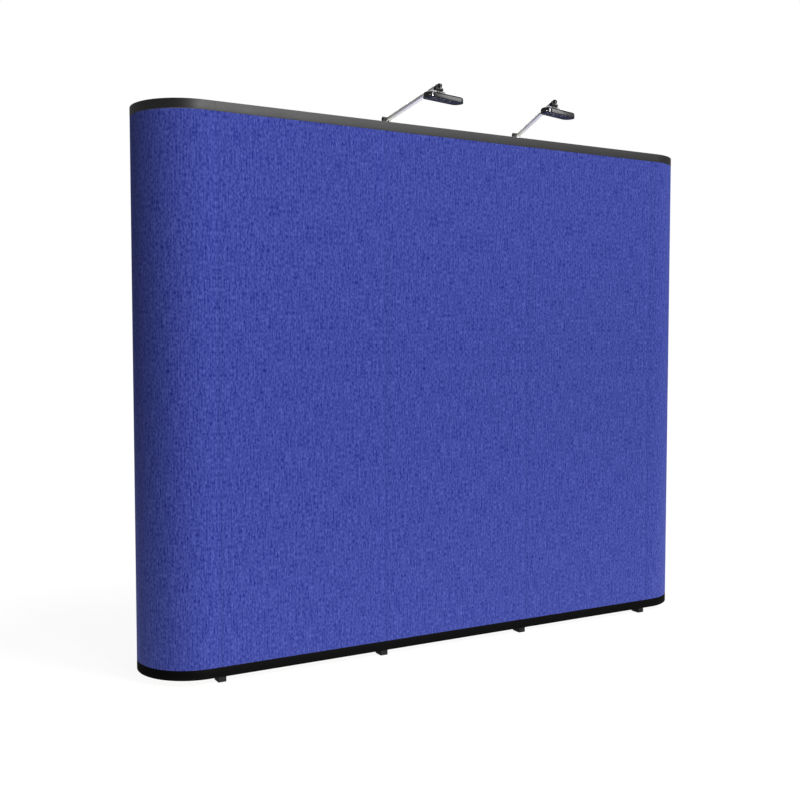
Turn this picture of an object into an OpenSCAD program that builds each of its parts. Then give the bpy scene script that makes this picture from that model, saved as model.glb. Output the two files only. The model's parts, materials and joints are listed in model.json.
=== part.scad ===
// Free-standing exhibition partition wall: a knock-down frame of box posts, belt rails and ties,
// three flat fabric-covered panels, two half-round end panels and two clamp-on floodlights.
// The origin is on the floor below the middle of the whole object; the display face looks along -Y.

/* [Wall] */
// Width of one front panel
panel_pitch = 730; // [600:5:900]
// Flat strip of an end panel between the last front panel and its curve
end_flat = 41; // [30:1:80]
// Outer radius of the half-round ends, half the depth of the wall
end_radius = 221; // [180:1:300]
// Height from the underside of the sole rail to the top of the head rail
wall_h = 2225; // [1500:5:2600]
// How much closer together the posts stand than the panels are wide
post_inset = 8; // [2:1:16]

/* [Rails] */
// Height of the head rail's face
head_rail_h = 38; // [34:1:60]
// Height of the sole rail's face
sole_rail_h = 39.5; // [34:0.5:60]
// Wall of the hollow rails
rail_wall = 1.6; // [1.2:0.1:2.5]
// Length of the bars that join the rails
splice_l = 76; // [50:1:80]

/* [Posts] */
// Width of a post's section
post_w = 33; // [30:1:45]
// Depth of a post's section
post_d = 50; // [40:1:70]
// Wall of the posts
post_wall = 2; // [1.5:0.1:3]
// Height of the visible part of a foot
foot_h = 25; // [15:1:60]
// Outside size of the square ties between front and rear posts
tie_w = 25; // [20:1:28]
// Wall of the ties
tie_wall = 1.5; // [1:0.1:2.5]
// Radius of the studs that hold rails, posts and ties together
stud_r = 4; // [3:0.5:5]

/* [Panels] */
// Thickness of the fabric cover with its wadding
cover_t = 1.2; // [0.8:0.1:2]
// Thickness of the board behind the cover
core_t = 8; // [5:0.5:12]
// How far the cloth lies behind the rails' faces
cover_recess = 0.2; // [0:0.1:2]
// Thickness of the magnet strips on the posts
magnet_t = 3; // [2:0.5:4]
// Length of one magnet strip
magnet_l = 120; // [60:5:200]
// Magnet strips up each post
magnet_rows = 6; // [3:1:8]

/* [Lamp pose] */
// Swing of the left lamp's arm to the right
lamp_1_swing = 0; // [-40:1:40]
// Rise of the left lamp's arm
lamp_1_lift = 6.9; // [0:0.1:40]
// Direction of the left lamp's head
lamp_1_turn = 11.6; // [-30:0.1:30]
// Swing of the right lamp's arm to the right
lamp_2_swing = -14.4; // [-40:0.1:40]
// Rise of the right lamp's arm
lamp_2_lift = 7.7; // [0:0.1:40]
// Direction of the right lamp's head
lamp_2_turn = 14.3; // [-30:0.1:30]

/* [Lamps] */
// Distance between the arm's two joints
arm_l = 420; // [300:5:500]
// Radius of the arm's tube
arm_r = 9.5; // [8:0.5:12]
// Radius of the swivel stem
stem_r = 6; // [5:0.5:8]
// Height of the arm's lower joint above the head rail
joint_rise = 16; // [14:0.5:30]
// Distance of the arm's lower joint behind the display face
joint_back = 33; // [31:1:40]
// Length of the lamp head
head_l = 192; // [160:1:240]
// Width of the lamp head
head_w = 56; // [48:1:80]
// Height of the lamp head
head_h = 22; // [20:1:35]
// Rounding of the lamp head's upper edge
head_round = 8; // [4:0.5:10]
// Drop from the arm's upper joint to the middle of the head
head_drop = 45; // [44:0.5:60]
// Sideways offset from the arm's upper joint to the middle of the head
head_off = 20; // [0:1:35]

/* [Clearances] */
// Gap between parts that seat or slide on each other
fit_gap = 0.3; // [0.2:0.1:0.5]
// Radial gap of pins that turn in a hole
pin_gap = 0.1; // [0.05:0.05:0.2]
// Gap between the edges of neighbouring panels and rails
edge_gap = 0.5; // [0.3:0.1:1]

/* [Hidden] */
$fn = 64;
eps = 1; // overshoot of cuts
curve_fn = 180; // segments of the large end curves

straight_w = 3 * panel_pitch + 2 * end_flat;
straight_x = straight_w / 2;
seam_x = 1.5 * panel_pitch;
depth = 2 * end_radius;
sole_z = foot_h;
head_z = foot_h + wall_h;
panel_z0 = sole_z + sole_rail_h + edge_gap;
panel_z1 = head_z - head_rail_h - edge_gap;
panel_h = panel_z1 - panel_z0;
sole_mid_z = sole_z + sole_rail_h / 2;
head_mid_z = head_z - head_rail_h / 2;
mid_tie_z = (sole_mid_z + head_mid_z) / 2;
tie_levels = [sole_mid_z, mid_tie_z, head_mid_z];
rail_levels = [[sole_z, sole_rail_h], [head_z - head_rail_h, head_rail_h]];

// lamp geometry: local frames are built on these
head_half = head_l / 2 - head_w / 2;
head_r = head_w / 2;
joint_z = head_z + joint_rise;
lamp_swing = [lamp_1_swing, lamp_2_swing];
lamp_lift = [lamp_1_lift, lamp_2_lift];
lamp_turn = [lamp_1_turn, lamp_2_turn];
lamp_side = [-1, 1];
function arm_reach(i) = arm_l * cos(lamp_lift[i]) * cos(lamp_swing[i]);
function head_front(i) = joint_back - arm_reach(i) + head_off * sin(lamp_turn[i])
    - head_half * abs(sin(lamp_turn[i])) - head_r;

// the display face's Y puts the origin midway between the lamps' front and the wall's back
front_y = -(depth + min(head_front(0), head_front(1))) / 2;
mid_y = front_y + end_radius;
rear_y = front_y + depth;

// rails are as deep as the cloth, board and magnets behind them; posts stand just behind the rails
post_pitch = panel_pitch - post_inset;
rail_d = cover_recess + cover_t + core_t + magnet_t + fit_gap;
post_y0 = rail_d + fit_gap;
post_drop = 6; // the posts end this far below the head rail's top, under their caps and clamps
post_h = wall_h - post_drop;
post_top_z = sole_z + post_h;
post_x = [for (i = [0:3]) (i - 1.5) * post_pitch];
cap_t = 3;
cap_plug = 20;
foot_plug = 40;
plug_gap = 0.3;
core_y0 = cover_recess + cover_t + fit_gap;
magnet_w = post_w - 7;
magnet_pitch = (panel_h - magnet_l - 60) / (magnet_rows - 1);
stud_gap = 0.2;
stud_bite = 22;
tie_plug = 30;
splice_wall_gap = 0.3;
batten_w = 15;
batten_d = 20;

// lamp parts
clamp_block_w = 23;
clamp_block_d = 24;
clamp_block_h = 60;
clamp_plate_t = 4;
clamp_leg_t = 6;
clamp_leg_h = 44;
clamp_screw_r = 4;
clamp_screw_drop = 29;
clamp_top_z = post_top_z + cap_t + fit_gap + clamp_plate_t;
clamp_knob_r = 12;
lamp_x = post_pitch / 2 - post_w / 2 - fit_gap - clamp_block_w / 2;
stem_deep = 42;
collar_r = 10;
collar_t = 2.5;
tongue_t = 7;
ear_t = 5;
side_gap = 0.3;
arm_bolt_r = 3;
arm_knob_r = 9.5;
arm_knob_l = 15;
arm_wall = 1.5;
tube_start = 15;
tube_end = 24;
ear_outer = tongue_t / 2 + side_gap + ear_t;
disc_r = 10;
disc_t = 6;
pan_pin_r = 3;
neck_r = 6;
pan_t = 5;
tilt_drop = 16;
lug_t = 8;
lug_r = 7;
tilt_bolt_r = 2.5;
tilt_nut_r = 4.5;
tilt_nut_t = 3;
barrel_l = 9;
barrel_out = lug_t / 2 + side_gap + barrel_l;
web_t = 5;
bracket_foot = [-12, 52];
bracket_plate_t = 3;
bracket_plate_w = 22;
head_top = -head_drop + head_h / 2;
head_bottom = -head_drop - head_h / 2;
shell_t = 2;
glass_t = 2;
glass_set = 0.5;
reflector_t = 1;
reflector_rim = 2.5;
bulb_r = 5;
bulb_l = 79;
holder = [8, 14, 12];
gland_r = 6;
gland_l = 14;
gland_at = 45;
cable_r = 3;

// ---- shared shapes -------------------------------------------------------------------------

// children for the front row and turned half round the wall's middle for the rear row
module rear_row() {
    translate([0, mid_y, 0]) rotate([0, 0, 180]) translate([0, -mid_y, 0]) children();
}

// rods of radius r from the local origin along +Z, +Y and +X
module rod(r, h) { cylinder(r = r, h = h); }
module rod_y(r, h) { rotate([-90, 0, 0]) cylinder(r = r, h = h); }
module rod_x(r, h) { rotate([0, 90, 0]) cylinder(r = r, h = h); }

// plan of a half-round end of radius r, from x0 outwards
module end_plan(r, x0) {
    union() {
        translate([x0, mid_y - r]) square([straight_x - x0 + 0.001, 2 * r]);
        intersection() {
            translate([straight_x, mid_y]) circle(r = r, $fn = curve_fn);
            translate([straight_x, mid_y - r]) square([r + eps, 2 * r]);
        }
    }
}

// wall of an end between an outer set-back and a thickness, from x0 outwards
module end_wall(set_back, t, x0, x_open) {
    difference() {
        end_plan(end_radius - set_back, x0);
        end_plan(end_radius - set_back - t, x_open);
    }
}

// ---- frame -----------------------------------------------------------------------------------

module post(i) {
    color("silver")
    difference() {
        translate([post_x[i] - post_w / 2, front_y + post_y0, sole_z]) cube([post_w, post_d, post_h]);
        translate([post_x[i] - post_w / 2 + post_wall, front_y + post_y0 + post_wall, sole_z - eps])
            cube([post_w - 2 * post_wall, post_d - 2 * post_wall, post_h + 2 * eps]);
        for (z = tie_levels)
            translate([post_x[i], front_y + post_y0 - eps, z]) rod_y(stud_r + stud_gap, post_d + 2 * eps);
    }
}

module plug_in_post(x, z, h) {
    translate([
        x - post_w / 2 + post_wall + plug_gap,
        front_y + post_y0 + post_wall + plug_gap,
        z
    ])
        cube([post_w - 2 * (post_wall + plug_gap), post_d - 2 * (post_wall + plug_gap), h]);
}

// black moulded foot: a block under the post with a plug inside it, short of the lowest stud
module foot(x) {
    plug_h = min(foot_plug, sole_mid_z - sole_z - stud_r - 2);
    color("black")
    union() {
        translate([x - post_w / 2, front_y + post_y0, 0]) cube([post_w, post_d, foot_h]);
        plug_in_post(x, foot_h - eps, plug_h + eps);
    }
}

module feet() {
    for (x = post_x) {
        foot(x);
        rear_row() foot(x);
    }
}

module post_cap(x) {
    plug_h = min(cap_plug, post_top_z - head_mid_z - stud_r - 2);
    color("black")
    union() {
        translate([x - post_w / 2, front_y + post_y0, post_top_z]) cube([post_w, post_d, cap_t]);
        plug_in_post(x, post_top_z - plug_h, plug_h + eps);
    }
}

module post_caps() {
    for (x = post_x) {
        post_cap(x);
        rear_row() post_cap(x);
    }
}

// square tie between a front and a rear post, with solid tapped ends
module tie(x, z) {
    y0 = front_y + post_y0 + post_d;
    len = depth - 2 * (post_y0 + post_d);
    color("silver")
    difference() {
        translate([x - tie_w / 2, y0, z - tie_w / 2]) cube([tie_w, len, tie_w]);
        translate([x - tie_w / 2 + tie_wall, y0 + tie_plug, z - tie_w / 2 + tie_wall])
            cube([tie_w - 2 * tie_wall, len - 2 * tie_plug, tie_w - 2 * tie_wall]);
        translate([x, y0 - eps, z]) rod_y(stud_r + stud_gap, stud_bite + 2 + eps);
        translate([x, y0 + len - stud_bite - 2, z]) rod_y(stud_r + stud_gap, stud_bite + 2 + eps);
    }
}

module cross_ties() {
    for (x = post_x)
        for (z = tie_levels)
            tie(x, z);
}

// hollow straight rail along the front face
module front_rail(level) {
    z = rail_levels[level][0];
    h = rail_levels[level][1];
    half = seam_x - edge_gap / 2;
    color("dimgray")
    difference() {
        translate([-half, front_y, z]) cube([2 * half, rail_d, h]);
        translate([-half - eps, front_y + rail_wall, z + rail_wall])
            cube([2 * (half + eps), rail_d - 2 * rail_wall, h - 2 * rail_wall]);
        for (x = post_x)
            translate([x, front_y + rail_wall + eps, z + h / 2]) rod_y(stud_r + stud_gap, rail_d);
    }
}

// hollow half-round rail of the right end
module right_rail(level) {
    z = rail_levels[level][0];
    h = rail_levels[level][1];
    x0 = seam_x + edge_gap / 2;
    color("dimgray")
    difference() {
        translate([0, 0, z]) linear_extrude(height = h) end_wall(0, rail_d, x0, x0 - eps);
        translate([0, 0, z + rail_wall]) linear_extrude(height = h - 2 * rail_wall)
            end_wall(rail_wall, rail_d - 2 * rail_wall, x0 - eps, x0 - 2 * eps);
    }
}

module left_rail(level) { mirror([1, 0, 0]) right_rail(level); }

// bar inside two rails where they meet, drilled for the end posts' stud
module splice(level) {
    z = rail_levels[level][0];
    h = rail_levels[level][1];
    inset = rail_wall + splice_wall_gap;
    flat_l = end_flat - edge_gap;
    l0 = splice_l / 2;
    l1 = min(splice_l / 2, flat_l - 2);
    color("gray")
    difference() {
        translate([seam_x - l0, front_y + inset, z + inset])
            cube([l0 + l1, rail_d - 2 * inset, h - 2 * inset]);
        translate([post_x[3], front_y, z + h / 2]) rod_y(stud_r + stud_gap, rail_d);
    }
}

module rail_splices() {
    for (level = [0, 1])
        for (side = [0, 1])
            mirror([side, 0, 0]) {
                splice(level);
                translate([0, 2 * mid_y, 0]) mirror([0, 1, 0]) splice(level);
            }
}

// studs through rail, post and tie; the middle ones start in the post's front wall
module rail_studs() {
    y_end = front_y + post_y0 + post_d + stud_bite;
    for (x = post_x)
        for (k = [0:2]) {
            y_start = front_y + (k == 1 ? post_y0 + 0.2 : rail_wall + 1.2);
            color("lightgray") {
                translate([x, y_start, tie_levels[k]]) rod_y(stud_r, y_end - y_start);
                rear_row() translate([x, y_start, tie_levels[k]]) rod_y(stud_r, y_end - y_start);
            }
        }
}

// magnet strips: on the front posts' faces, and on the end posts' outer sides
module magnet_strips() {
    z0 = panel_z0 + 30;
    color("black")
    for (r = [0:magnet_rows - 1]) {
        z = z0 + r * magnet_pitch;
        for (x = post_x)
            translate([x - magnet_w / 2, front_y + post_y0 - magnet_t, z])
                cube([magnet_w, magnet_t, magnet_l]);
        for (side = [0, 1])
            mirror([side, 0, 0])
                for (y = [front_y + post_y0, rear_y - post_y0 - batten_d])
                    translate([post_x[3] + post_w / 2, y, z]) cube([magnet_t, batten_d, magnet_l]);
    }
}

// ---- panels ----------------------------------------------------------------------------------

module front_board(i) {
    x0 = (i - 1.5) * panel_pitch;
    color("tan")
    translate([x0 + edge_gap / 2, front_y + core_y0, panel_z0])
        cube([panel_pitch - edge_gap, core_t, panel_h]);
}

module front_cover(i) {
    x0 = (i - 1.5) * panel_pitch;
    color("royalblue")
    translate([x0 + edge_gap / 2, front_y + cover_recess, panel_z0])
        cube([panel_pitch - edge_gap, cover_t, panel_h]);
}

// curved board with a batten down each edge that meets the magnets of the end posts
module right_end_board() {
    x0 = seam_x + edge_gap / 2;
    batten_x = max(post_x[3] + post_w / 2 + magnet_t + fit_gap, x0);
    color("tan")
    translate([0, 0, panel_z0])
    linear_extrude(height = panel_h) {
        end_wall(core_y0, core_t, x0, x0 - eps);
        for (y = [front_y + core_y0 + core_t - eps, rear_y - core_y0 - core_t - batten_d + eps])
            translate([batten_x, y]) square([batten_w, batten_d]);
    }
}

module right_end_cover() {
    x0 = seam_x + edge_gap / 2;
    color("royalblue")
    translate([0, 0, panel_z0])
    linear_extrude(height = panel_h) end_wall(cover_recess, cover_t, x0, x0 - eps);
}

module left_end_board() { mirror([1, 0, 0]) right_end_board(); }
module left_end_cover() { mirror([1, 0, 0]) right_end_cover(); }

// ---- lamps -----------------------------------------------------------------------------------

// at the lower joint, turned with the stem
module stem_frame(i) {
    translate([lamp_side[i] * lamp_x, front_y + joint_back, joint_z])
        rotate([0, 0, lamp_swing[i]]) children();
}

// at the lower joint, -Y along the arm
module arm_frame(i) {
    stem_frame(i) rotate([-lamp_lift[i], 0, 0]) children();
}

// at the upper joint, +X along the head
module head_frame(i) {
    translate([
        lamp_side[i] * lamp_x + arm_l * cos(lamp_lift[i]) * sin(lamp_swing[i]),
        front_y + joint_back - arm_reach(i),
        joint_z + arm_l * sin(lamp_lift[i])
    ])
        rotate([0, 0, lamp_turn[i]]) children();
}

// a solid with a straight middle and half-round ends; the path runs from the foot of its side,
// as [distance from the middle line, height], to a last point on the middle line
module oblong(path) {
    last = len(path) - 1;
    across = concat(path, [for (k = [last - 1:-1:0]) [-path[k][0], path[k][1]]]);
    translate([head_off, 0, 0])
    union() {
        translate([-head_half, 0, 0]) rotate([90, 0, 90]) linear_extrude(height = 2 * head_half)
            polygon(across);
        for (a = [-90, 90])
            translate([a < 0 ? head_half : -head_half, 0, 0])
                rotate([0, 0, a]) rotate_extrude(angle = 180)
                    polygon(concat(path, [[0, path[0][1]]]));
    }
}

// saddle over a post's top with the stem's socket on one side and the thumb screw on the other
module lamp_clamp(i) {
    block_x0 = lamp_x - clamp_block_w / 2;
    leg_x0 = post_pitch / 2 + post_w / 2 + fit_gap;
    y0 = front_y + joint_back - clamp_block_d / 2;
    color("black")
    mirror([lamp_side[i] < 0 ? 1 : 0, 0, 0])
    difference() {
        union() {
            translate([block_x0, y0, clamp_top_z - clamp_block_h])
                cube([clamp_block_w, clamp_block_d, clamp_block_h]);
            translate([block_x0, y0, clamp_top_z - clamp_plate_t])
                cube([leg_x0 + clamp_leg_t - block_x0, clamp_block_d, clamp_plate_t]);
            translate([leg_x0, y0, clamp_top_z - clamp_leg_h])
                cube([clamp_leg_t, clamp_block_d, clamp_leg_h]);
        }
        translate([lamp_x, front_y + joint_back, clamp_top_z - stem_deep - 1])
            rod(stem_r + pin_gap, stem_deep + 1 + eps);
        translate([leg_x0 - eps, front_y + joint_back, clamp_top_z - clamp_screw_drop])
            rod_x(clamp_screw_r + pin_gap, clamp_leg_t + 2 * eps);
    }
}

module lamp_clamp_screw(i) {
    tip_x = post_pitch / 2 + post_w / 2 + fit_gap;
    shank_l = clamp_leg_t + 7;
    knob_l = 12;
    lobes = 6;
    color("black")
    mirror([lamp_side[i] < 0 ? 1 : 0, 0, 0])
    translate([tip_x, front_y + joint_back, clamp_top_z - clamp_screw_drop])
    union() {
        rod_x(clamp_screw_r, shank_l + eps);
        translate([shank_l, 0, 0])
        difference() {
            rod_x(clamp_knob_r, knob_l);
            for (k = [0:lobes - 1])
                rotate([k * 360 / lobes, 0, 0]) translate([-eps, 0, clamp_knob_r + 1.5])
                    rod_x(3, knob_l + 2 * eps);
        }
    }
}

module lamp_stem(i) {
    under = joint_z - clamp_top_z - fit_gap;
    tongue_w = 18;
    color("black")
    stem_frame(i)
    difference() {
        union() {
            translate([0, 0, -under - fit_gap - stem_deep]) rod(stem_r, stem_deep + fit_gap + eps);
            translate([0, 0, -under]) rod(collar_r, collar_t);
            translate([-tongue_t / 2, -tongue_w / 2, -under + eps]) cube([tongue_t, tongue_w, under - eps]);
            translate([-tongue_t / 2, 0, 0]) rod_x(tongue_w / 2, tongue_t);
        }
        translate([-tongue_t, 0, 0]) rod_x(arm_bolt_r + pin_gap, 2 * tongue_t);
    }
}

// aluminium tube with a clevis pressed into its lower end
module lamp_arm(i) {
    ear_l = tube_start + 4;
    color("silver")
    arm_frame(i)
    difference() {
        union() {
            difference() {
                translate([0, -tube_start, 0]) rotate([90, 0, 0]) rod(arm_r, arm_l - tube_start - tube_end);
                translate([0, -tube_start - 12, 0]) rotate([90, 0, 0]) rod(arm_r - arm_wall, arm_l);
            }
            intersection() {
                union() {
                    translate([-ear_outer, 0, 0]) rod_x(arm_r - 0.5, 2 * ear_outer);
                    translate([-ear_outer, -ear_l, -arm_r + 0.5])
                        cube([2 * ear_outer, ear_l, 2 * arm_r - 1]);
                }
                translate([0, arm_r + eps, 0]) rotate([90, 0, 0]) rod(arm_r + 1, ear_l + arm_r + 2 * eps);
            }
        }
        translate([-tongue_t / 2 - side_gap, -arm_r - 3.5, -2 * arm_r])
            cube([tongue_t + 2 * side_gap, 3 * arm_r, 4 * arm_r]);
        translate([-2 * arm_r, 0, 0]) rod_x(arm_bolt_r + pin_gap, 4 * arm_r);
    }
}

// thumb bolt through the lower joint, its knob on the left and a round nut on the right
module lamp_arm_knob(i) {
    nut_t = 4;
    nut_r = 5.5;
    grooves = 12;
    color("black")
    arm_frame(i)
    union() {
        translate([-ear_outer - side_gap - eps, 0, 0])
            rod_x(arm_bolt_r, 2 * (ear_outer + side_gap + eps));
        translate([ear_outer + side_gap, 0, 0]) rod_x(nut_r, nut_t);
        translate([-ear_outer - side_gap - arm_knob_l, 0, 0])
        difference() {
            rod_x(arm_knob_r, arm_knob_l);
            for (k = [0:grooves - 1])
                rotate([k * 360 / grooves, 0, 0]) translate([-eps, 0, arm_knob_r + 0.4])
                    rod_x(1.2, arm_knob_l - 3 + eps);
        }
    }
}

// plug in the tube's upper end with a flat eye for the pan pin
module lamp_arm_tip(i) {
    color("black")
    difference() {
        union() {
            arm_frame(i) {
                translate([0, -arm_l + tube_end + 18, 0]) rotate([90, 0, 0])
                    rod(arm_r - arm_wall - plug_gap, 18 + eps);
                translate([0, -arm_l + tube_end - fit_gap, 0]) rotate([90, 0, 0]) rod(arm_r, 6);
                translate([0, -arm_l + tube_end - 5, 0]) rotate([90, 0, 0]) rod(neck_r, tube_end - 9);
            }
            head_frame(i) translate([0, 0, -disc_t / 2]) rod(disc_r, disc_t);
        }
        head_frame(i) {
            translate([0, 0, -disc_t]) rod(pan_pin_r + pin_gap, 2 * disc_t);
            translate([0, 0, -disc_t / 2 - 4 * disc_r]) rod(disc_r + 2, 4 * disc_r);
            translate([0, 0, disc_t / 2]) rod(disc_r - 2, 4 * disc_r);
        }
    }
}

// pan knuckle: washer, pin and domed head round the eye, with the tilt lug below
module lamp_pan_knuckle(i) {
    washer_z = -disc_t / 2 - side_gap - pan_t;
    rivet_r = 5.5;
    rivet_t = 3;
    color("black")
    head_frame(i)
    difference() {
        union() {
            translate([0, 0, washer_z]) rod(disc_r, pan_t);
            translate([0, 0, washer_z + eps]) rod(pan_pin_r, pan_t + disc_t + 2 * side_gap);
            translate([0, 0, disc_t / 2 + side_gap]) rod(rivet_r, rivet_t);
            translate([-lug_t / 2, -lug_r, -tilt_drop]) cube([lug_t, 2 * lug_r, tilt_drop + washer_z + eps]);
            translate([-lug_t / 2, 0, -tilt_drop]) rod_x(lug_r, lug_t);
        }
        translate([-lug_t, 0, -tilt_drop]) rod_x(tilt_bolt_r + pin_gap, 2 * lug_t);
    }
}

// three-cornered bracket on the head: two barrels for the tilt bolt, a web and a foot plate
module lamp_bracket(i) {
    nut_clear_z = -tilt_drop - tilt_nut_r - 1.5;
    color("black")
    head_frame(i)
    difference() {
        union() {
            translate([-barrel_out, 0, -tilt_drop]) rod_x(lug_r, 2 * barrel_out);
            rotate([90, 0, 0]) translate([0, 0, -web_t / 2]) linear_extrude(height = web_t)
                polygon([
                    [bracket_foot[0], head_top + 1], [bracket_foot[1], head_top + 1],
                    [barrel_out + tilt_nut_t + 1.5, nut_clear_z], [barrel_out, nut_clear_z],
                    [barrel_out, -tilt_drop], [-barrel_out, -tilt_drop]
                ]);
            translate([bracket_foot[0], -bracket_plate_w / 2, head_top])
                cube([bracket_foot[1] - bracket_foot[0], bracket_plate_w, bracket_plate_t]);
        }
        translate([-lug_t / 2 - side_gap, -2 * lug_r, -tilt_drop - lug_r - 0.8])
            cube([lug_t + 2 * side_gap, 4 * lug_r, 4 * lug_r]);
        translate([-2 * barrel_out, 0, -tilt_drop]) rod_x(tilt_bolt_r + pin_gap, 4 * barrel_out);
    }
}

module lamp_head_knob(i) {
    knob_r = 8;
    knob_l = 11;
    wings = 8;
    color("black")
    head_frame(i)
    translate([0, 0, -tilt_drop])
    union() {
        translate([-barrel_out - side_gap - eps, 0, 0])
            rod_x(tilt_bolt_r, 2 * (barrel_out + side_gap + eps));
        translate([barrel_out + side_gap, 0, 0]) rod_x(tilt_nut_r, tilt_nut_t);
        translate([-barrel_out - side_gap - knob_l, 0, 0])
        difference() {
            rod_x(knob_r, knob_l);
            for (k = [0:wings - 1])
                rotate([k * 360 / wings, 0, 0]) translate([-3, 0, knob_r + 0.6]) rod_x(1.6, knob_l);
        }
    }
}

// side and rounded top of the housing, moved in by off, from a height of foot_z
function housing_path(off, foot_z) = concat(
    [[head_r - off, foot_z]],
    [for (a = [0:15:75]) [
        head_r - head_round + (head_round - off) * cos(a),
        head_top - head_round + (head_round - off) * sin(a)
    ]],
    [[head_r - head_round, head_top - off], [0, head_top - off]]
);

module lamp_housing(i) {
    color("black")
    head_frame(i)
    difference() {
        oblong(housing_path(0, head_bottom));
        oblong(housing_path(shell_t, head_bottom - eps));
        translate([head_off + gland_at, 0, -head_drop]) rod_y(gland_r + pin_gap, head_r + eps);
    }
}

// bright trough with a rim that the glass seats on
module lamp_reflector(i) {
    rim_r = head_r - shell_t - fit_gap;
    rim_z = head_bottom + glass_set + glass_t + fit_gap;
    top_z = head_top - shell_t - fit_gap;
    mouth_r = rim_r - reflector_rim;
    crown_r = head_r - shell_t - head_round;
    t = reflector_t;
    color("gainsboro")
    head_frame(i)
    difference() {
        oblong([[rim_r, rim_z], [rim_r, rim_z + t], [mouth_r, rim_z + t], [crown_r, top_z], [0, top_z]]);
        oblong([[mouth_r - t, rim_z - eps], [mouth_r - t, rim_z], [crown_r - t, top_z - t], [0, top_z - t]]);
    }
}

// double-ended tube between two ceramic holders
module lamp_bulb(i) {
    top_z = head_top - shell_t - fit_gap - reflector_t;
    bulb_z = top_z - holder[2] / 2 - 1;
    color("ivory")
    head_frame(i)
    translate([head_off, 0, 0])
    union() {
        translate([-bulb_l / 2, 0, bulb_z]) rod_x(bulb_r, bulb_l);
        for (s = [-1, 1])
            translate([s * (bulb_l / 2 + 1) - holder[0] / 2, -holder[1] / 2, top_z - holder[2]])
                cube(holder);
    }
}

module lamp_glass(i) {
    z = head_bottom + glass_set;
    r = head_r - shell_t - fit_gap;
    color("lightcyan", 0.4)
    head_frame(i) oblong([[r, z], [r, z + glass_t], [0, z + glass_t]]);
}

// cable inlet in the back of the head
module lamp_cable_gland(i) {
    nose_l = 6;
    color("black")
    head_frame(i)
    translate([head_off + gland_at, head_r, -head_drop])
    difference() {
        union() {
            translate([0, -shell_t, 0]) rod_y(gland_r, shell_t + eps);
            rotate([-90, 30, 0]) cylinder(r = gland_r + 2, h = gland_l - nose_l, $fn = 6);
            translate([0, gland_l - nose_l - eps, 0]) rod_y(gland_r - 1, nose_l + eps);
        }
        translate([0, -shell_t - eps, 0]) rod_y(cable_r, gland_l + shell_t + 2 * eps);
    }
}

// ---- what is drawn ---------------------------------------------------------------------------

post(0);  // front_post_1
post(1);  // front_post_2
post(2);  // front_post_3
post(3);  // front_post_4
rear_row() post(3);  // rear_post_1
rear_row() post(2);  // rear_post_2
rear_row() post(1);  // rear_post_3
rear_row() post(0);  // rear_post_4
feet();
post_caps();
cross_ties();
front_rail(1);  // front_head_rail
front_rail(0);  // front_sole_rail
rear_row() front_rail(1);  // rear_head_rail
rear_row() front_rail(0);  // rear_sole_rail
left_rail(1);  // left_head_rail
right_rail(1);  // right_head_rail
left_rail(0);  // left_sole_rail
right_rail(0);  // right_sole_rail
rail_splices();
rail_studs();
magnet_strips();
front_board(0);  // front_panel_1_board
front_board(1);  // front_panel_2_board
front_board(2);  // front_panel_3_board
left_end_board();
right_end_board();
front_cover(0);  // front_panel_1_cover
front_cover(1);  // front_panel_2_cover
front_cover(2);  // front_panel_3_cover
left_end_cover();
right_end_cover();
lamp_clamp(0);  // lamp_1_clamp
lamp_clamp_screw(0);  // lamp_1_clamp_screw
lamp_stem(0);  // lamp_1_stem
lamp_arm(0);  // lamp_1_arm
lamp_arm_knob(0);  // lamp_1_arm_knob
lamp_arm_tip(0);  // lamp_1_arm_tip
lamp_pan_knuckle(0);  // lamp_1_pan_knuckle
lamp_bracket(0);  // lamp_1_bracket
lamp_head_knob(0);  // lamp_1_head_knob
lamp_housing(0);  // lamp_1_housing
lamp_reflector(0);  // lamp_1_reflector
lamp_bulb(0);  // lamp_1_bulb
lamp_glass(0);  // lamp_1_glass
lamp_cable_gland(0);  // lamp_1_cable_gland
lamp_clamp(1);  // lamp_2_clamp
lamp_clamp_screw(1);  // lamp_2_clamp_screw
lamp_stem(1);  // lamp_2_stem
lamp_arm(1);  // lamp_2_arm
lamp_arm_knob(1);  // lamp_2_arm_knob
lamp_arm_tip(1);  // lamp_2_arm_tip
lamp_pan_knuckle(1);  // lamp_2_pan_knuckle
lamp_bracket(1);  // lamp_2_bracket
lamp_head_knob(1);  // lamp_2_head_knob
lamp_housing(1);  // lamp_2_housing
lamp_reflector(1);  // lamp_2_reflector
lamp_bulb(1);  // lamp_2_bulb
lamp_glass(1);  // lamp_2_glass
lamp_cable_gland(1);  // lamp_2_cable_gland
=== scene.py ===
"""Exhibition partition wall: cloth, rails, boards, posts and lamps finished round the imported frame."""

import json
import math

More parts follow.
